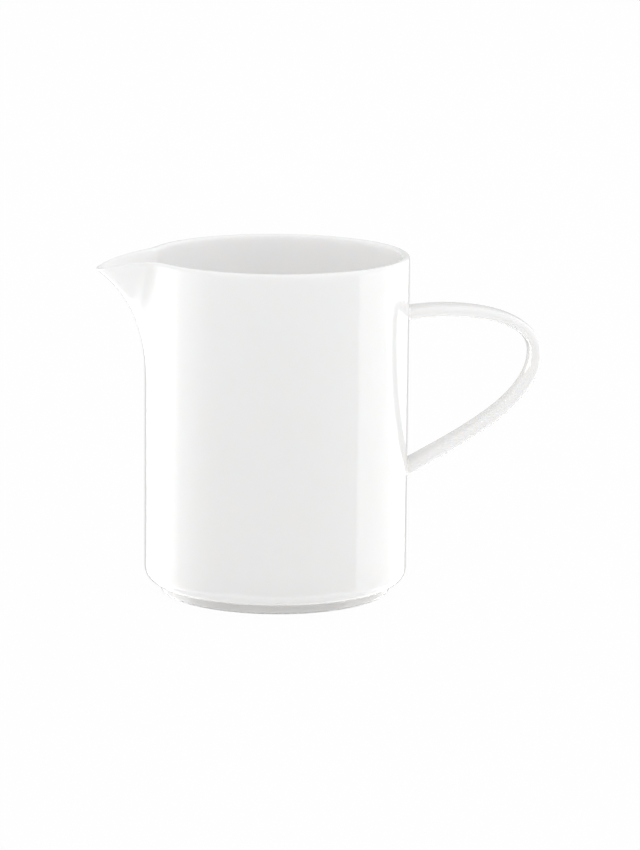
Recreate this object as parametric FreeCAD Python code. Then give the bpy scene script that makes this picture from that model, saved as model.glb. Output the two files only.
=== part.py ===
import FreeCAD, Part
import math
import os

# A porcelain creamer: a straight cylindrical jug on a small foot ring, with a spout pulled out
# of its rim towards -X and a strap handle on the +X side. Origin: centre of the foot ring, on
# the surface that it stands on. Millimetres, +Z up.

Vector = FreeCAD.Vector
origin = Vector(0, 0, 0)
axis = Vector(0, 0, 1)

# Body
rim_height = 97.0
body_radius = 37.5
wall_at_lip = 2.2              # the lip is a full round of this thickness
wall_at_base = 3.2             # the wall grows evenly to this at the floor
floor_thickness = 4.2
outer_corner_radius = 3.6
inner_corner_radius = 7.0

# Foot ring, glazed outside and bare on the edge that it stands on
foot_inset = 4.5               # from the wall's outside to the ring's outside
foot_width = 3.2
foot_height = 2.9              # from the standing edge to the underside of the body
recess_depth = 2.3             # from the standing edge to the underside inside the ring
foot_edge_radius = 0.9
foot_root_radius = 0.6

# Spout, a smooth outward pull of the wall that dies out below and to each side
spout_reach = 14.6             # how far the rim is pulled out, at the tip
spout_length = 37.0            # how far below the rim the pull starts
spout_flare = 2.4              # 1 is a straight slope, more is a flare that turns out near the rim
spout_half_angle = 10.5        # seen from above, where the pull at the rim has dropped to a half
spout_foot_share = 0.5         # the same angle at the lower end, as a share of the angle at the rim
spout_droop = 3.4              # how far the tip lies below the rim
droop_curve = 1.75
spout_sector = 36.0            # the pull is nothing at this angle and beyond

# Handle, a strap with rounded edges that follows two joined curves in the XZ plane
handle_thickness = 3.4
handle_grip_width = 9.0
handle_root_width = 11.0
handle_squareness = 3.2        # 2 is an ellipse, more is a rounded rectangle
handle_reach = 37.1            # from the body to the middle of the strap at the bend
upper_root_height = 79.0
lower_root_height = 33.6
handle_top_height = 81.45
bend_height = 67.4
bend_tension = 14.0            # length of the curve's straight pull above and below the bend
upper_root_pull = 7.0          # how far from the body the upper arm reaches its top height
lower_root_pull = Vector(18.6, 0, 10.3)
handle_fillet = 1.5
root_overlap = 1.4             # how far the strap runs into the wall before it is joined

# How finely the free-form faces follow their shapes
spout_columns = 32             # points across the spout's sector, from side to side
spout_rows = 12                # steps up the spout's wall
lip_steps = 10                 # steps over the round of the lip
strap_points = 40              # points around one section of the strap
arm_steps = 12                 # steps along each of the handle's two arms

joint_tolerance = 0.001        # between the turned wall and the spout's, where they meet
match_tolerance = 0.001        # for finding an edge by its place

right_angle = 90
full_turn = 360


def line(start, end):
    return Part.LineSegment(start, end).toShape()


def spline(points, start_tangent=None, end_tangent=None):
    curve = Part.BSplineCurve()
    if start_tangent is None:
        curve.interpolate(points)
    else:
        curve.interpolate(Points=points, InitialTangent=start_tangent, FinalTangent=end_tangent)
    return curve.toShape()


def steps(start, end, count):
    return [start + (end - start) * i / count for i in range(count + 1)]


foot_radius = body_radius - foot_inset
lip_radius = wall_at_lip / 2
lip_centre_height = rim_height - lip_radius
lip_inner_radius = body_radius - wall_at_lip
floor_height = recess_depth + floor_thickness
spout_bottom = rim_height - spout_length


def inner_radius(height):
    share = (lip_centre_height - height) / (lip_centre_height - floor_height)
    return lip_inner_radius - share * (wall_at_base - wall_at_lip)


def circles_at(shape, places):
    """The circular edges of a turned solid that lie at the given radius and height pairs."""
    found = []
    for edge in shape.Edges:
        if isinstance(edge.Curve, Part.Circle):
            here = (edge.Curve.Radius, edge.Curve.Center.z)
            if any(math.dist(here, place) < match_tolerance for place in places):
                found.append(edge)
    return found


def make_body():
    foot_inner = foot_radius - foot_width
    lip_start = Vector(body_radius, 0, lip_centre_height)
    lip_top = Vector(body_radius - lip_radius, 0, rim_height)
    lip_end = Vector(lip_inner_radius, 0, lip_centre_height)
    outside = [
        Vector(0, 0, recess_depth),
        Vector(foot_inner, 0, recess_depth),
        Vector(foot_inner, 0, 0),
        Vector(foot_radius, 0, 0),
        Vector(foot_radius, 0, foot_height),
        Vector(body_radius, 0, foot_height),
        lip_start,
    ]
    inside = [
        lip_end,
        Vector(inner_radius(floor_height), 0, floor_height),
        Vector(0, 0, floor_height),
        outside[0],
    ]
    edges = [line(a, b) for a, b in zip(outside, outside[1:])]
    edges.append(Part.Arc(lip_start, lip_top, lip_end).toShape())
    edges += [line(a, b) for a, b in zip(inside, inside[1:])]
    body = Part.Face(Part.Wire(edges)).revolve(origin, axis, full_turn)
    body.rotate(origin, axis, right_angle)  # the turned faces' seam stays clear of spout and handle
    standing_edges = [(foot_inner, 0), (foot_radius, 0)]
    foot_roots = [(foot_inner, recess_depth), (foot_radius, foot_height)]
    body = body.makeFillet(foot_edge_radius, circles_at(body, standing_edges))
    body = body.makeFillet(foot_root_radius, circles_at(body, foot_roots))
    body = body.makeFillet(outer_corner_radius, circles_at(body, [(body_radius, foot_height)]))
    inner_corner = (inner_radius(floor_height), floor_height)
    return body.makeFillet(inner_corner_radius, circles_at(body, [inner_corner]))


def pulled(radius, height, angle):
    """A point of the turned wall, moved by the spout. The angle is in degrees from -X."""
    rise = max(0.0, (height - spout_bottom) / spout_length)
    narrowing = spout_foot_share + (1 - spout_foot_share) * rise
    window = spout_sector * narrowing
    share = 0.0
    if abs(angle) < window:
        half = math.cos(math.radians(right_angle * spout_half_angle / spout_sector))
        sharpness = math.log(0.5) / math.log(half)
        spread = math.cos(math.radians(right_angle * angle / window)) ** sharpness
        share = rise ** spout_flare * spread
    radius += spout_reach * share
    height -= spout_droop * share ** droop_curve
    turn = math.radians(angle)
    return Vector(-radius * math.cos(turn), -radius * math.sin(turn), height)


def wall_row(radius, height):
    """An arc of the wall across the spout's sector, through one point of the wall's outline."""
    angles = steps(-spout_sector, spout_sector, spout_columns)
    points = [pulled(radius, height, angle) for angle in angles]
    turn = math.radians(spout_sector)
    start_tangent = Vector(-math.sin(turn), -math.cos(turn), 0)
    end_tangent = Vector(math.sin(turn), -math.cos(turn), 0)
    return Part.Wire(spline(points, start_tangent, end_tangent))


def make_spout():
    heights = steps(spout_bottom, lip_centre_height, spout_rows)
    outer_rows = [wall_row(body_radius, height) for height in heights]
    lip_rows = []
    for turn in steps(0, math.pi, lip_steps):
        lip_x = body_radius - lip_radius + lip_radius * math.cos(turn)
        lip_rows.append(wall_row(lip_x, lip_centre_height + lip_radius * math.sin(turn)))
    inner_rows = [wall_row(inner_radius(height), height) for height in reversed(heights)]
    faces = []
    for rows in (outer_rows, lip_rows, inner_rows):
        faces += Part.makeLoft(rows).Faces
    edges = [edge for face in faces for edge in face.Edges]
    bottom = [edge for edge in edges if edge.BoundBox.ZMax < spout_bottom + match_tolerance]
    for side in (-spout_sector, spout_sector):
        foot_inner = pulled(inner_radius(spout_bottom), spout_bottom, side)
        foot_outer = pulled(body_radius, spout_bottom, side)
        foot_line = line(foot_inner, foot_outer)
        across = axis.cross(foot_outer)
        upright = []
        for edge in edges:
            if all(abs(v.Point.dot(across)) < match_tolerance for v in edge.Vertexes):
                upright.append(edge)
        faces.append(Part.Face(Part.Wire(Part.sortEdges(upright + [foot_line])[0])))
        bottom.append(foot_line)
    faces.append(Part.Face(Part.Wire(Part.sortEdges(bottom)[0])))
    shell = Part.Shell(faces)
    shell.sewShape()
    return Part.Solid(shell)


def spout_gap():
    """The wedge of the turned wall that the spout's own wall takes the place of."""
    inner = lip_inner_radius - wall_at_base
    outer = body_radius + wall_at_base
    corners = [
        Vector(-inner, 0, spout_bottom),
        Vector(-outer, 0, spout_bottom),
        Vector(-outer, 0, rim_height + wall_at_lip),
        Vector(-inner, 0, rim_height + wall_at_lip),
    ]
    half_section = Part.Face(Part.makePolygon(corners + corners[:1]))
    half_section.rotate(origin, axis, -spout_sector)
    return half_section.revolve(origin, axis, 2 * spout_sector)


def handle_curves():
    """The strap's centreline: an upper and a lower curve that meet upright at the bend."""
    start = body_radius - root_overlap
    bend = Vector(body_radius + handle_reach, 0, bend_height)
    lift = Vector(0, 0, bend_tension)
    upper = [
        Vector(start, 0, upper_root_height),
        Vector(body_radius + upper_root_pull, 0, handle_top_height),
        bend + lift,
        bend,
    ]
    lower_start = Vector(start, 0, lower_root_height)
    lower = [bend, bend - lift, lower_start + lower_root_pull, lower_start]
    curves = []
    for poles in (upper, lower):
        curve = Part.BezierCurve()
        curve.setPoles(poles)
        curves.append(curve)
    return curves


def strap_section(centre, forward, width):
    """One closed section of the strap, square to its centreline."""
    across = Vector(0, 1, 0)
    outward = across.cross(forward)
    power = 2 / handle_squareness
    points = []
    for turn in steps(0, 2 * math.pi, strap_points)[:-1]:
        side = math.copysign(abs(math.cos(turn)) ** power, math.cos(turn)) * width / 2
        rise = math.copysign(abs(math.sin(turn)) ** power, math.sin(turn)) * handle_thickness / 2
        points.append(centre + across * side + outward * rise)
    curve = Part.BSplineCurve()
    curve.interpolate(Points=points, PeriodicFlag=True)
    return Part.Wire(curve.toShape())


def make_handle():
    sections = []
    for curve in handle_curves():
        for share in steps(0, 1, arm_steps):
            centre = curve.value(share)
            nearness = max(0.0, 1 - (centre.x - body_radius) / handle_reach)
            width = handle_grip_width + (handle_root_width - handle_grip_width) * nearness ** 2
            sections.append(strap_section(centre, curve.tangent(share)[0], width))
    del sections[arm_steps]        # the bend belongs to both curves
    return Part.makeLoft(sections, True)


def handle_roots(shape):
    """The edges where the strap meets the outside of the wall."""
    reach = handle_root_width / 2 + handle_thickness
    nearest = math.sqrt(body_radius ** 2 - reach ** 2)
    found = []
    for edge in shape.Edges:
        box = edge.BoundBox
        on_wall = box.XMin > nearest and box.XMax < body_radius + match_tolerance
        if on_wall and max(-box.YMin, box.YMax) < reach:
            found.append(edge)
    return found


def make_creamer():
    body = make_body().cut(spout_gap()).fuse([make_spout()], joint_tolerance).removeSplitter()
    joined = body.fuse(make_handle())
    return joined.makeFillet(handle_fillet, handle_roots(joined))


creamer = make_creamer()
os.makedirs("parts", exist_ok=True)
creamer.Solids[0].exportStep("parts/creamer.step")
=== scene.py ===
import math

import bmesh
import bpy
from mathutils import Matrix, Vector


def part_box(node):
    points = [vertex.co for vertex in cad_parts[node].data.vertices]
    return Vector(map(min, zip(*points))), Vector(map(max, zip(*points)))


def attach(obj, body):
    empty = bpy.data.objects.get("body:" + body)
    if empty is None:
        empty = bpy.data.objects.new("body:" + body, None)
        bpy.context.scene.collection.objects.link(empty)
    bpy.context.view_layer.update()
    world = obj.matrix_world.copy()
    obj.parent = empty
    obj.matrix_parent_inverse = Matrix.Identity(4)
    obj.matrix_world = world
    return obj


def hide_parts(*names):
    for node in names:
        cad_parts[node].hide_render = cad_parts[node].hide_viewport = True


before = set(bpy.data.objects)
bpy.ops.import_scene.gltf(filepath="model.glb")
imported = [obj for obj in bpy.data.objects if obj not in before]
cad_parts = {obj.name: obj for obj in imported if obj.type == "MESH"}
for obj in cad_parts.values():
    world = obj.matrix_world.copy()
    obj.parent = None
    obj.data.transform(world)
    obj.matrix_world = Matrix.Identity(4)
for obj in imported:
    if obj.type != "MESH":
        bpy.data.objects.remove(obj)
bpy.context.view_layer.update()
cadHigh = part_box("creamer")[1]

mm = 0.001
hair = 0.01 * mm  # places nearer to each other than this are one place
hairTurn = 0.001  # the same for angles, in radians
quarterTurn = 90  # in degrees
mostly = 0.5  # a direction whose part along an axis is more than this runs along that axis


# The camera looks at the creamer a little from above, from a few degrees off its side.
cameraView = {
    "turn": math.radians(-8),  # round the creamer, from straight in front of it
    "distance": 1.125,  # in metres, as is the height
    "height": 0.2753,
    "pitch": 0.1997,
    "yaw": 0.0111,
    "roll": -0.0096,
    "lens": 170.45,
    "farthest": 50,
}


def placeCamera():
    view = cameraView
    bpy.ops.object.camera_add()
    camera = bpy.context.object
    camera.name = "camera"
    camera.data.lens = view["lens"]
    camera.data.clip_end = view["farthest"]
    away = Matrix.Translation((0, -view["distance"], view["height"]))
    place = Matrix.Rotation(view["turn"], 4, "Z") @ away
    pitch = Matrix.Rotation(math.pi / 2 - view["pitch"], 4, "X")
    aim = Matrix.Rotation(-view["yaw"], 4, "Z") @ pitch
    camera.matrix_world = place @ aim @ Matrix.Rotation(-view["roll"], 4, "Z")
    bpy.context.scene.camera = camera


placeCamera()
print("camera placed")


# Small helpers for working in edit mode.
def openMesh(piece):
    bpy.ops.object.select_all(action="DESELECT")
    piece.select_set(True)
    bpy.context.view_layer.objects.active = piece
    bpy.ops.object.mode_set(mode="EDIT")
    bpy.ops.mesh.select_mode(type="EDGE")
    bpy.ops.mesh.select_all(action="DESELECT")
    return bmesh.from_edit_mesh(piece.data)


def closeMesh():
    bpy.ops.object.mode_set(mode="OBJECT")


# Selects the faces ("FACE") or edges ("EDGE") that are wanted, and nothing else.
def pick(piece, kind, wanted):
    bpy.ops.mesh.select_mode(type=kind)
    bpy.ops.mesh.select_all(action="DESELECT")
    mesh = bmesh.from_edit_mesh(piece.data)
    for part in mesh.edges if kind == "EDGE" else mesh.faces:
        if wanted(part):
            part.select_set(True)
    bmesh.update_edit_mesh(piece.data)


def evenSteps(start, end, spacing):
    count = max(1, round(abs(end - start) / spacing))
    return [start + (end - start) * step / count for step in range(1, count + 1)]


def offAxis(point):
    return math.hypot(point.x, point.y)


def applyModifiers(piece):
    bpy.context.view_layer.objects.active = piece
    for modifier in list(piece.modifiers):
        bpy.ops.object.modifier_apply(modifier=modifier.name)


# The handle is a strap on a guide line. Its two ends decide where the wall needs rows, so its
# sizes come first.
handleShape = {
    "thickness": 3.4 * mm,
    "gripWidth": 9.0 * mm,
    "rootWidth": 11.0 * mm,
    "squareness": 3.2,  # 2 is an ellipse, more is a rounded rectangle
    "reach": 37.1 * mm,  # from the wall to the middle of the strap at the bend
    "startInWall": 1.4 * mm,
    "upperStart": 79.0 * mm,
    "upperPull": (7.0 * mm, 81.45 * mm),  # out from the wall, and height
    "bendHeight": 67.4 * mm,
    "bendPull": 14.0 * mm,  # length of the curve's straight pull above and below the bend
    "lowerPull": (17.2 * mm, 43.9 * mm),
    "lowerStart": 33.6 * mm,
    "fillet": 1.5 * mm,
    "cellsAcross": 10,
    "cellsThrough": 4,
    "ringSpacing": 1.7 * mm,
    "rootClearance": (4.4 * mm, 5.6 * mm),  # what the bar leaves free at each end of the guide line
    "filletCuts": 3,
    "guideSteps": 64,
    "firstVertex": 0.1,  # a turn back, in radians, that keeps one vertex first in both rings
}


# The lowest and highest point of the strap's footprint on the wall, with its rounding.
def landing(startHeight, pull):
    shape = handleShape
    slope = math.atan2(pull[1] - startHeight, pull[0] + shape["startInWall"])
    middle = startHeight + shape["startInWall"] * math.tan(slope)
    half = shape["thickness"] / 2 / math.cos(slope)
    below = shape["fillet"] / math.tan((math.pi / 2 + slope) / 2)
    above = shape["fillet"] / math.tan((math.pi / 2 - slope) / 2)
    return middle - half - below, middle + half + above


landings = [
    landing(handleShape["lowerStart"], handleShape["lowerPull"]),
    landing(handleShape["upperStart"], handleShape["upperPull"]),
]

bodyShape = {
    "radius": cadHigh.y,
    "height": cadHigh.z,
    "lipWall": 2.2 * mm,
    "baseWall": 3.2 * mm,
    "floorThickness": 4.2 * mm,
    "outerCorner": 3.6 * mm,
    "outerCornerCells": 7,
    "innerCorner": 7.0 * mm,
    "innerCornerCells": 8,
    "footInset": 4.5 * mm,
    "footWidth": 3.2 * mm,
    "footHeight": 2.9 * mm,
    "recess": 2.3 * mm,
    "footEdge": 0.9 * mm,
    "footEdgeCells": 4,
    "footRoot": 0.6 * mm,
    "footRootCells": 3,
    "segments": 160,  # cells round the wall
    "lipSegments": 8,
    "outerRows": 2.0 * mm,  # rows of cells are about this far apart
    "innerRows": 3.0 * mm,
    "floorRows": 6.0 * mm,
    "drawnIn": 0.04 * mm,  # smoothing draws the wall in by less than this
}


def wallRows(start, end):
    stops = [start, *landings[0], *landings[1], end]
    rows = []
    for low, high in zip(stops, stops[1:]):
        spacing = bodyShape["outerRows"]
        if (low, high) in landings:
            spacing = (high - low) / handleShape["cellsThrough"]
        rows += evenSteps(low, high, spacing)
    return rows


# One closed wall, ring by ring from the middle of its underside to the middle of its floor.
def turnBody():
    shape = bodyShape
    radius, top = shape["radius"], shape["height"]
    footOuter = radius - shape["footInset"]
    footInner = footOuter - shape["footWidth"]
    floorHeight = shape["recess"] + shape["floorThickness"]
    lipRadius = shape["lipWall"] / 2
    lipHeight = top - lipRadius
    lipInside = radius - shape["lipWall"]
    cornerTop = shape["footHeight"] + shape["outerCorner"]

    def insideAt(height):
        thicker = shape["baseWall"] - shape["lipWall"]
        return lipInside - thicker * (lipHeight - height) / (lipHeight - floorHeight)

    floorRadius = insideAt(floorHeight)
    underside = evenSteps(shape["floorRows"], footInner, shape["floorRows"])
    rings = [(place, shape["recess"]) for place in underside]
    rings += [(footInner, 0), (footOuter, 0)]
    rings += [(footOuter, shape["footHeight"]), (radius, shape["footHeight"])]
    rings += [(radius, height) for height in wallRows(cornerTop, lipHeight)]
    for step in range(1, shape["lipSegments"] + 1):
        turn = math.pi * step / shape["lipSegments"]
        lipPlace = radius - lipRadius + lipRadius * math.cos(turn)
        rings.append((lipPlace, lipHeight + lipRadius * math.sin(turn)))
    innerTop = floorHeight + shape["innerCorner"]
    innerHeights = evenSteps(lipHeight, innerTop, shape["innerRows"])[:-1]
    rings += [(insideAt(height), height) for height in innerHeights]
    rings.append((floorRadius, floorHeight))
    flatRadius = floorRadius - shape["innerCorner"]
    floor = evenSteps(flatRadius, shape["floorRows"], shape["floorRows"])
    rings += [(place, floorHeight) for place in floor]

    bpy.ops.object.select_all(action="DESELECT")
    bpy.ops.mesh.primitive_circle_add(
        vertices=shape["segments"], radius=shape["floorRows"], fill_type="TRIFAN",
        location=(0, 0, shape["recess"]))
    body = bpy.context.object
    body.name = body.data.name = "creamerGlazed"
    bpy.ops.object.transform_apply(location=True, rotation=False, scale=False)
    openMesh(body)
    bpy.ops.mesh.select_non_manifold(
        extend=False, use_wire=False, use_boundary=True, use_multi_face=False,
        use_non_contiguous=False, use_verts=False)
    wide, high = shape["floorRows"], shape["recess"]
    for nextWide, nextHigh in rings:
        bpy.ops.mesh.extrude_edges_move(TRANSFORM_OT_translate={"value": (0, 0, nextHigh - high)})
        scale = nextWide / wide
        bpy.ops.transform.resize(value=(scale, scale, 1), center_override=(0, 0, nextHigh))
        wide, high = nextWide, nextHigh
    bpy.ops.mesh.extrude_edges_move()
    bpy.ops.mesh.merge(type="CENTER")

    rounds = [
        (footInner, 0, "footEdge"),
        (footOuter, 0, "footEdge"),
        (footInner, shape["recess"], "footRoot"),
        (footOuter, shape["footHeight"], "footRoot"),
        (radius, shape["footHeight"], "outerCorner"),
        (floorRadius, floorHeight, "innerCorner"),
    ]
    for ringRadius, ringHeight, name in rounds:
        pick(body, "EDGE", lambda edge: all(
            abs(offAxis(vertex.co) - ringRadius) < hair and abs(vertex.co.z - ringHeight) < hair
            for vertex in edge.verts))
        bpy.ops.mesh.bevel(
            offset=shape[name], offset_type="OFFSET", segments=shape[name + "Cells"],
            affect="EDGES")
    closeMesh()
    return body


body = turnBody()
print("body turned:", len(body.data.polygons), "faces")


# The strap's middle line, an upper and a lower curve that meet upright at the bend.
def guideLine():
    shape = handleShape
    wall = bodyShape["radius"]
    bendOut, bend = wall + shape["reach"], shape["bendHeight"]
    bpy.ops.object.select_all(action="DESELECT")
    bpy.ops.curve.primitive_bezier_curve_add()
    guide = bpy.context.object
    line = guide.data.splines[0]
    line.bezier_points.add(1)
    upperOut, upperHeight = shape["upperPull"]
    lowerOut, lowerHeight = shape["lowerPull"]
    upperEnd = (wall - shape["startInWall"], shape["upperStart"])
    lowerEnd = (wall - shape["startInWall"], shape["lowerStart"])
    places = [upperEnd, (bendOut, bend), lowerEnd]
    before = [upperEnd, (bendOut, bend + shape["bendPull"]), (wall + lowerOut, lowerHeight)]
    after = [(wall + upperOut, upperHeight), (bendOut, bend - shape["bendPull"]), lowerEnd]
    for point, place, left, right in zip(line.bezier_points, places, before, after):
        point.handle_left_type = point.handle_right_type = "FREE"
        point.co = (place[0], 0, place[1])
        point.handle_left = (left[0], 0, left[1])
        point.handle_right = (right[0], 0, right[1])
    line.resolution_u = shape["guideSteps"]
    return guide


# A straight bar with a rounded section, bent along the guide line and widened towards the wall.
def bendStrap():
    shape = handleShape
    guide = guideLine()
    first = shape["rootClearance"][0]
    last = guide.data.splines[0].calc_length() - shape["rootClearance"][1]
    length = last - first
    bpy.ops.object.select_all(action="DESELECT")
    bpy.ops.mesh.primitive_cube_add(
        size=1, location=((first + last) / 2, 0, 0),
        scale=(length, shape["gripWidth"], shape["thickness"]))
    strap = bpy.context.object
    strap.name = strap.data.name = "strap"
    bpy.ops.object.transform_apply(location=True, rotation=False, scale=True)
    openMesh(strap)
    pick(strap, "FACE", lambda face: abs(face.normal.x) > mostly)
    bpy.ops.mesh.delete(type="ONLY_FACE")
    cuts = [round(length / shape["ringSpacing"]), shape["cellsAcross"], shape["cellsThrough"]]
    for direction, cells in enumerate(cuts):
        pick(strap, "EDGE", lambda edge: abs(
            (edge.verts[1].co - edge.verts[0].co).normalized()[direction]) > mostly)
        bpy.ops.mesh.subdivide(number_cuts=cells - 1)
    closeMesh()
    power = shape["squareness"]
    for vertex in strap.data.vertices:
        across = abs(vertex.co.y) / (shape["gripWidth"] / 2)
        through = abs(vertex.co.z) / (shape["thickness"] / 2)
        pull = (across ** power + through ** power) ** (-1 / power)
        vertex.co.y *= pull
        vertex.co.z *= pull
    bend = strap.modifiers.new("bend", "CURVE")
    bend.object = guide
    applyModifiers(strap)
    bpy.data.objects.remove(guide)
    for vertex in strap.data.vertices:
        nearness = max(0, 1 - (vertex.co.x - bodyShape["radius"]) / shape["reach"])
        vertex.co.y *= 1 + (shape["rootWidth"] / shape["gripWidth"] - 1) * nearness ** 2
    return strap


strap = bendStrap()
print("strap bent:", len(strap.data.polygons), "faces")


# Where the line from point along heading meets an upright cylinder round the axis.
def alongTo(radius, point, heading):
    a = heading.x ** 2 + heading.y ** 2
    b = point.x * heading.x + point.y * heading.y
    c = point.x ** 2 + point.y ** 2 - radius ** 2
    return point + heading * (-b - math.sqrt(b * b - a * c)) / a


def nearLanding(vertex, low, high):
    return vertex.is_boundary and abs(vertex.co.z - (low + high) / 2) < high - low


# The open edge's vertices at one landing, in order round it as seen from outside.
def openLoop(mesh, low, high):
    loop = [vertex for vertex in mesh.verts if nearLanding(vertex, low, high)]
    centre = sum(vertex.co.z for vertex in loop) / len(loop)

    def turn(vertex):
        angle = math.atan2(vertex.co.z - centre, vertex.co.y)
        return (angle + handleShape["firstVertex"]) % (2 * math.pi)

    return sorted(loop, key=turn)


# Opens the wall under both ends of the strap, and joins them with a small hollow rounding.
def landStrap(body, strap):
    shape = handleShape
    wall = bodyShape["radius"]
    halfPatch = math.pi * shape["cellsAcross"] / bodyShape["segments"]
    mesh = openMesh(strap)
    outlines = []
    for low, high in landings:
        loop = openLoop(mesh, low, high)
        headings, feet = [], []
        for vertex in loop:
            inward = [edge for edge in vertex.link_edges if not edge.is_boundary][0]
            headings.append((vertex.co - inward.other_vert(vertex).co).normalized())
            feet.append(alongTo(wall, vertex.co, headings[-1]))
        outline = []
        for index, vertex in enumerate(loop):
            foot = feet[index]
            along = feet[(index + 1) % len(feet)] - feet[index - 1]
            upright = Vector((foot.x, foot.y, 0)).normalized()
            outward = along.cross(upright).normalized()
            reach = shape["fillet"] / math.tan(outward.angle(-headings[index]) / 2)
            vertex.co = foot - headings[index] * reach
            sideways = outward.dot(Vector((-upright.y, upright.x, 0)))
            turn = math.atan2(foot.y, foot.x) + sideways * reach / wall
            height = foot.z + outward.z * reach
            outline.append((wall * math.cos(turn), wall * math.sin(turn), height))
        outlines.append(outline)
    bmesh.update_edit_mesh(strap.data)
    closeMesh()

    def underStrap(point, low, high):
        beside = abs(math.atan2(point.y, point.x)) < halfPatch + hairTurn
        outside = offAxis(point) > wall - hair
        return beside and outside and low - hair < point.z < high + hair

    openMesh(body)
    for low, high in landings:
        pick(body, "FACE", lambda face: all(
            underStrap(vertex.co, low, high) for vertex in face.verts))
        bpy.ops.mesh.delete(type="FACE")
    mesh = bmesh.from_edit_mesh(body.data)
    for (low, high), outline in zip(landings, outlines):
        for vertex, place in zip(openLoop(mesh, low, high), outline):
            vertex.co = place
    bmesh.update_edit_mesh(body.data)
    closeMesh()

    bpy.ops.object.select_all(action="DESELECT")
    strap.select_set(True)
    body.select_set(True)
    bpy.context.view_layer.objects.active = body
    bpy.ops.object.join()
    openMesh(body)
    for low, high in landings:
        pick(body, "EDGE", lambda edge: (
            edge.is_boundary and nearLanding(edge.verts[0], low, high)))
        bpy.ops.mesh.bridge_edge_loops(
            type="SINGLE", number_cuts=shape["filletCuts"], interpolation="SURFACE")
    bpy.ops.mesh.select_all(action="SELECT")
    bpy.ops.mesh.normals_make_consistent(inside=False)
    closeMesh()


landStrap(body, strap)
print("strap landed on the wall:", len(body.data.polygons), "faces")


# The spout is a smooth outward pull of the wall that dies out below and to each side.
spoutShape = {
    "reach": 14.6 * mm,  # how far the rim is pulled out at the tip
    "length": 37.0 * mm,  # how far below the rim the pull starts
    "flare": 2.4,  # 1 is a straight slope, more turns out near the rim
    "halfAngle": 10.5,  # in degrees, where the pull at the rim has dropped to a half
    "sector": 36.0,  # in degrees, where it has died out
    "lowerShare": 0.5,  # the same angles at the lower end, as a share of those at the rim
    "droop": 3.4 * mm,
    "droopCurve": 1.75,
}


def pullSpout(body):
    shape = spoutShape
    bottom = bodyShape["height"] - shape["length"]
    halfTurn = math.cos(math.radians(quarterTurn * shape["halfAngle"] / shape["sector"]))
    sharpness = math.log(0.5) / math.log(halfTurn)
    for vertex in body.data.vertices:
        angle = math.degrees(math.atan2(-vertex.co.y, -vertex.co.x))
        rise = (vertex.co.z - bottom) / shape["length"]
        window = shape["sector"] * (shape["lowerShare"] + (1 - shape["lowerShare"]) * rise)
        if rise > 0 and abs(angle) < window:
            spread = math.cos(math.radians(quarterTurn * angle / window)) ** sharpness
            share = rise ** shape["flare"] * spread
            scale = 1 + shape["reach"] * share / offAxis(vertex.co)
            vertex.co.x *= scale
            vertex.co.y *= scale
            vertex.co.z -= shape["droop"] * share ** shape["droopCurve"]


# Doubles the mesh both ways, and puts the wall back on its true radius.
def smoothBody(body):
    smooth = body.modifiers.new("smooth", "SUBSURF")
    smooth.levels = smooth.render_levels = 1
    applyModifiers(body)
    wall = bodyShape["radius"]
    cornerTop = bodyShape["footHeight"] + bodyShape["outerCorner"]
    lipHeight = bodyShape["height"] - bodyShape["lipWall"] / 2
    for vertex in body.data.vertices:
        distance = offAxis(vertex.co)
        if abs(distance - wall) < bodyShape["drawnIn"] and cornerTop < vertex.co.z < lipHeight:
            vertex.co.x *= wall / distance
            vertex.co.y *= wall / distance
    bpy.ops.object.select_all(action="DESELECT")
    body.select_set(True)
    bpy.ops.object.shade_smooth()


smoothBody(body)
pullSpout(body)
print("spout pulled:", len(body.data.polygons), "faces")


# Each finish starts from a plain shader. Its pattern is laid out on the piece's own coordinates.
def newFinish(name):
    finish = bpy.data.materials.new(name)
    finish.use_nodes = True
    shader = finish.node_tree.nodes["Principled BSDF"]
    return finish, finish.node_tree, shader


glazeFinish = {
    "outside": (0.948, 0.936, 0.921, 1),
    "thinner": (0.934, 0.926, 0.913, 1),  # slow patches where the glaze is thinner
    # painted light: the inside and its floor are painted whiter than the outside, standing in for
    # light gathered inside the cavity
    "inside": (0.99, 0.982, 0.98, 1),
    "footShade": (0.845, 0.836, 0.825, 1),  # painted shade: the foot ring darker, where the recess under the body shades it
    "lip": (0.944, 0.937, 0.915, 1),
    "bare": (0.9, 0.884, 0.852, 1),  # the unglazed edge it stands on
    "insideFrom": (36.9 * mm, 35.8 * mm),  # from the axis, where this colour starts and is full
    "floorFrom": (5.4 * mm, 6.3 * mm),  # the same as heights, for the inside above its floor
    "footShadeFrom": (3.6 * mm, 2.6 * mm),
    "lipFrom": (95.6 * mm, 96.7 * mm),
    "bareFrom": (0.42 * mm, 0.3 * mm),
    "patchSize": 17 * mm,
    "patchDetail": 3,
    "patchLimits": (0.35, 0.65),  # of the pattern, where a patch starts and is full
    "glossLimits": (0.3, 0.7),  # the same for the change of gloss
    "glossRoughness": (0.04, 0.08),
    "bareRoughness": 0.62,
    "ior": 1.5,
    "waveSize": 26 * mm,  # the wall is very slightly uneven
    "waveDetail": 1,
    "waveHeight": 0.16 * mm,
    "grainSize": 1.3 * mm,  # and the glaze is faintly pebbled
    "grainDetail": 2,
    "grainHeight": 0.0018 * mm,
    "glowDepth": 2.4 * mm,  # how far light spreads inside the thin wall
    "glowTint": (1.0, 0.95, 0.9),
}


def addNode(tree, kind, **settings):
    node = tree.nodes.new(kind)
    for name, value in settings.items():
        setattr(node, name, value)
    return node


# A value that runs from one number to another as the source passes between two limits.
def ramp(tree, source, limits, ends=(0, 1)):
    node = addNode(tree, "ShaderNodeMapRange", interpolation_type="SMOOTHSTEP")
    tree.links.new(source, node.inputs["Value"])
    names = ("From Min", "From Max", "To Min", "To Max")
    for name, value in zip(names, (*limits, *ends)):
        node.inputs[name].default_value = value
    return node.outputs["Result"]


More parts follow.
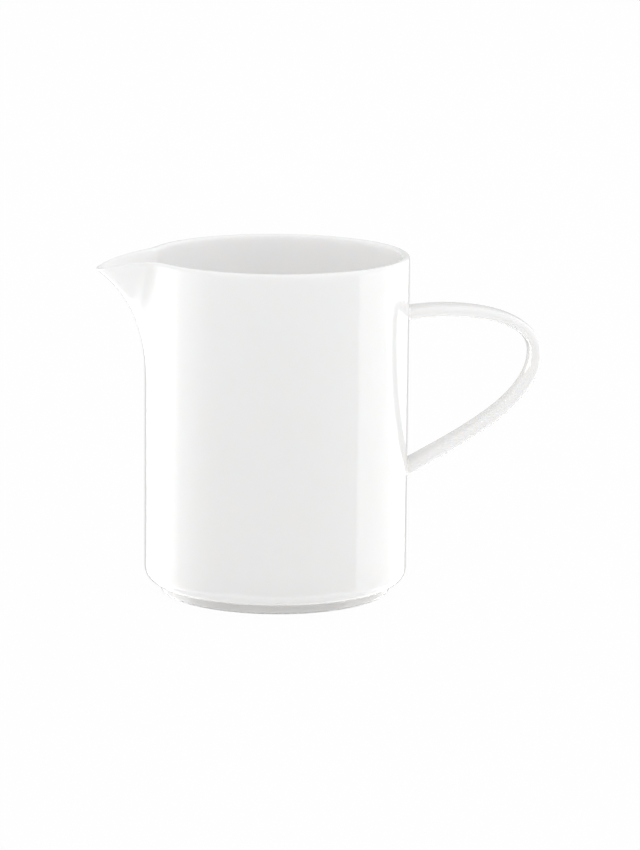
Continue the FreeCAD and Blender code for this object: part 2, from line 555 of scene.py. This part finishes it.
def noise(tree, place, size, detail):
    node = addNode(tree, "ShaderNodeTexNoise")
    tree.links.new(place, node.inputs["Vector"])
    node.inputs["Scale"].default_value = 1 / size
    node.inputs["Detail"].default_value = detail
    return node.outputs["Fac"]


# The mix node has its sockets for colours after those for numbers and vectors.
blendSockets = {"share": 0, "under": 6, "over": 7, "result": 2}


def blend(tree, share, under, over):
    node = addNode(tree, "ShaderNodeMix", data_type="RGBA")
    tree.links.new(share, node.inputs[blendSockets["share"]])
    for name, colour in (("under", under), ("over", over)):
        socket = node.inputs[blendSockets[name]]
        if isinstance(colour, tuple):
            socket.default_value = colour
        else:
            tree.links.new(colour, socket)
    return node.outputs[blendSockets["result"]]


def multiply(tree, first, second):
    node = addNode(tree, "ShaderNodeMath", operation="MULTIPLY")
    tree.links.new(first, node.inputs[0])
    tree.links.new(second, node.inputs[1])
    return node.outputs[0]


def bump(tree, height, distance, normal=None):
    node = addNode(tree, "ShaderNodeBump")
    node.inputs["Distance"].default_value = distance
    tree.links.new(height, node.inputs["Height"])
    if normal:
        tree.links.new(normal, node.inputs["Normal"])
    return node.outputs["Normal"]


def glaze():
    look = glazeFinish
    finish, tree, shader = newFinish("glazedPorcelain")
    link = tree.links.new
    place = addNode(tree, "ShaderNodeTexCoord").outputs["Object"]
    parts = addNode(tree, "ShaderNodeSeparateXYZ")
    link(place, parts.inputs[0])
    flat = addNode(tree, "ShaderNodeCombineXYZ")
    link(parts.outputs["X"], flat.inputs["X"])
    link(parts.outputs["Y"], flat.inputs["Y"])
    across = addNode(tree, "ShaderNodeVectorMath", operation="LENGTH")
    link(flat.outputs[0], across.inputs[0])
    height, radius = parts.outputs["Z"], across.outputs["Value"]

    patches = noise(tree, place, look["patchSize"], look["patchDetail"])
    thinner = ramp(tree, patches, look["patchLimits"])
    withinWall = ramp(tree, radius, look["insideFrom"])
    inside = multiply(tree, withinWall, ramp(tree, height, look["floorFrom"]))
    bare = ramp(tree, height, look["bareFrom"])
    colour = blend(tree, thinner, look["outside"], look["thinner"])
    # painted light: the inside painted whiter
    colour = blend(tree, inside, colour, look["inside"])
    # painted shade darkens the foot ring
    colour = blend(tree, ramp(tree, height, look["footShadeFrom"]), colour, look["footShade"])
    colour = blend(tree, ramp(tree, height, look["lipFrom"]), colour, look["lip"])
    colour = blend(tree, bare, colour, look["bare"])
    link(colour, shader.inputs["Base Color"])

    mottled = ramp(tree, patches, look["glossLimits"], look["glossRoughness"])
    rougher = addNode(tree, "ShaderNodeMix")
    link(bare, rougher.inputs["Factor"])
    link(mottled, rougher.inputs["A"])
    rougher.inputs["B"].default_value = look["bareRoughness"]
    link(rougher.outputs["Result"], shader.inputs["Roughness"])

    waves = noise(tree, place, look["waveSize"], look["waveDetail"])
    grains = noise(tree, place, look["grainSize"], look["grainDetail"])
    wavy = bump(tree, waves, look["waveHeight"])
    link(bump(tree, grains, look["grainHeight"], wavy), shader.inputs["Normal"])

    shader.inputs["IOR"].default_value = look["ior"]
    shader.inputs["Subsurface Weight"].default_value = 1.0
    shader.inputs["Subsurface Radius"].default_value = look["glowTint"]
    shader.inputs["Subsurface Scale"].default_value = look["glowDepth"]
    return finish


body.data.materials.clear()
body.data.materials.append(glaze())
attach(body, "root")
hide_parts("creamer")
print("finishes made")


# A white table and soft lamps. Bearings are in degrees to the right of the camera, as seen from
# the creamer. A glow of 1 is plain white.
studio = {
    "tableSize": 12.0,
    "tableColour": (0.8, 0.8, 0.8, 1),
    "tableRoughness": 0.9,
    "tableGlow": 0.97,  # the share of plain white in what the camera sees of the table
    "airGlow": 0.945,
    "backGlow": 0.6,  # the room is darker behind the creamer
    "backSpread": (34, 16),  # degrees off straight back where that starts and is full
    "underGlow": 1.4,  # a lit table, as the glaze mirrors it low down
    "underSize": 2.0,
    "underHeight": -0.5,
    "lampDistance": 1.25,
    "lamps": {
        # name: bearings of its two edges, foot and top in metres, glow at each edge
        "rightLow": (75, 158, -0.9, 0.15, 1.4, 1.4),
        "rightHigh": (75, 158, 0.15, 1.1, 0.35, 0.35),
        "rightFade": (15, 75, 0.15, 1.1, 0.0, 0.15),
        "leftLow": (-125, -95, -0.9, 0.15, 2.7, 2.7),
        "leftBack": (-156, -125, -0.9, 0.15, 1.3, 1.6),
        "leftFade": (-95, -58, -0.9, 0.15, 1.9, 0.1),
    },
}
plainWhite = (1, 1, 1, 1)


def mixShaders(tree, share, under, over):
    node = addNode(tree, "ShaderNodeMixShader")
    for source, socket in zip((share, under, over), node.inputs):
        tree.links.new(source, socket)
    return node.outputs[0]


# The camera sees nearly plain white with the creamer's shadow, and reflections pass through.
def layTable():
    bpy.ops.object.select_all(action="DESELECT")
    bpy.ops.mesh.primitive_plane_add(size=studio["tableSize"])
    table = bpy.context.object
    table.name = table.data.name = "table"
    finish, tree, shader = newFinish("tablePaper")
    shader.inputs["Base Color"].default_value = studio["tableColour"]
    shader.inputs["Roughness"].default_value = studio["tableRoughness"]
    shader.inputs["Specular IOR Level"].default_value = 0
    path = addNode(tree, "ShaderNodeLightPath")
    white = addNode(tree, "ShaderNodeEmission")
    clear = addNode(tree, "ShaderNodeBsdfTransparent")
    share = addNode(tree, "ShaderNodeMath", operation="MULTIPLY")
    share.inputs[1].default_value = studio["tableGlow"]
    tree.links.new(path.outputs["Is Camera Ray"], share.inputs[0])
    seen = mixShaders(tree, share.outputs[0], shader.outputs[0], white.outputs[0])
    mirrored = addNode(tree, "ShaderNodeMath", operation="MAXIMUM")
    tree.links.new(path.outputs["Is Glossy Ray"], mirrored.inputs[0])
    tree.links.new(path.outputs["Is Transmission Ray"], mirrored.inputs[1])
    whole = mixShaders(tree, mirrored.outputs[0], seen, clear.outputs[0])
    tree.links.new(whole, tree.nodes["Material Output"].inputs["Surface"])
    table.data.materials.append(finish)


# A lamp of this energy, in watts, looks plain white where its glow is 1.
def whiteEnergy(width, height):
    return math.pi * width * height


def hangLamps():
    distance = studio["lampDistance"]
    for name, (start, end, foot, top, startGlow, endGlow) in studio["lamps"].items():
        width = 2 * distance * math.tan(math.radians(end - start) / 2)
        bpy.ops.object.light_add(type="AREA")
        lamp = bpy.context.object
        lamp.name = name
        lamp.data.shape = "RECTANGLE"
        lamp.data.size, lamp.data.size_y = width, top - foot
        lamp.data.energy = whiteEnergy(width, top - foot)
        turn = cameraView["turn"] + math.radians(start + end) / 2
        aside = Vector((math.sin(turn), -math.cos(turn), 0))
        lamp.location = aside * distance + Vector((0, 0, (foot + top) / 2))
        lamp.rotation_euler = aside.to_track_quat("Z", "Y").to_euler()
        lamp.visible_camera = False
        lamp.data.use_nodes = True
        tree = lamp.data.node_tree
        across = addNode(tree, "ShaderNodeNewGeometry")
        split = addNode(tree, "ShaderNodeSeparateXYZ")
        fade = addNode(tree, "ShaderNodeMapRange")
        fade.inputs["To Min"].default_value = startGlow
        fade.inputs["To Max"].default_value = endGlow
        tree.links.new(across.outputs["Parametric"], split.inputs[0])
        tree.links.new(split.outputs["X"], fade.inputs["Value"])
        tree.links.new(fade.outputs["Result"], tree.nodes["Emission"].inputs["Strength"])


# Only reflections see this lamp, since they pass through the table.
def glowUnderTable():
    size = studio["underSize"]
    bpy.ops.object.light_add(
        type="AREA", location=(0, 0, studio["underHeight"]), rotation=(math.pi, 0, 0))
    lamp = bpy.context.object
    lamp.name = "tableLight"
    lamp.data.size = size
    lamp.data.energy = studio["underGlow"] * whiteEnergy(size, size)
    lamp.visible_camera = False


def lightWorld():
    scene = bpy.context.scene
    scene.world = bpy.data.worlds.new("studioAir")
    scene.world.use_nodes = True
    tree = scene.world.node_tree
    link = tree.links.new
    direction = addNode(tree, "ShaderNodeTexCoord").outputs["Generated"]
    level = addNode(tree, "ShaderNodeVectorMath", operation="MULTIPLY")
    level.inputs[1].default_value = (1, 1, 0)
    heading = addNode(tree, "ShaderNodeVectorMath", operation="NORMALIZE")
    backwards = addNode(tree, "ShaderNodeVectorMath", operation="DOT_PRODUCT")
    turn = cameraView["turn"]
    backwards.inputs[1].default_value = (-math.sin(turn), math.cos(turn), 0)
    link(direction, level.inputs[0])
    link(level.outputs[0], heading.inputs[0])
    link(heading.outputs[0], backwards.inputs[0])
    spread = [math.cos(math.radians(angle)) for angle in studio["backSpread"]]
    ends = (studio["airGlow"], studio["backGlow"])
    air = tree.nodes["Background"]
    air.inputs["Color"].default_value = plainWhite
    link(ramp(tree, backwards.outputs["Value"], spread, ends), air.inputs["Strength"])
    white = addNode(tree, "ShaderNodeBackground")
    white.inputs["Color"].default_value = plainWhite
    path = addNode(tree, "ShaderNodeLightPath")
    seen = mixShaders(tree, path.outputs["Is Camera Ray"], air.outputs[0], white.outputs[0])
    link(seen, tree.nodes["World Output"].inputs["Surface"])


layTable()
hangLamps()
glowUnderTable()
lightWorld()
bpy.context.scene.view_settings.view_transform = "Standard"
print("table laid and lamps hung")
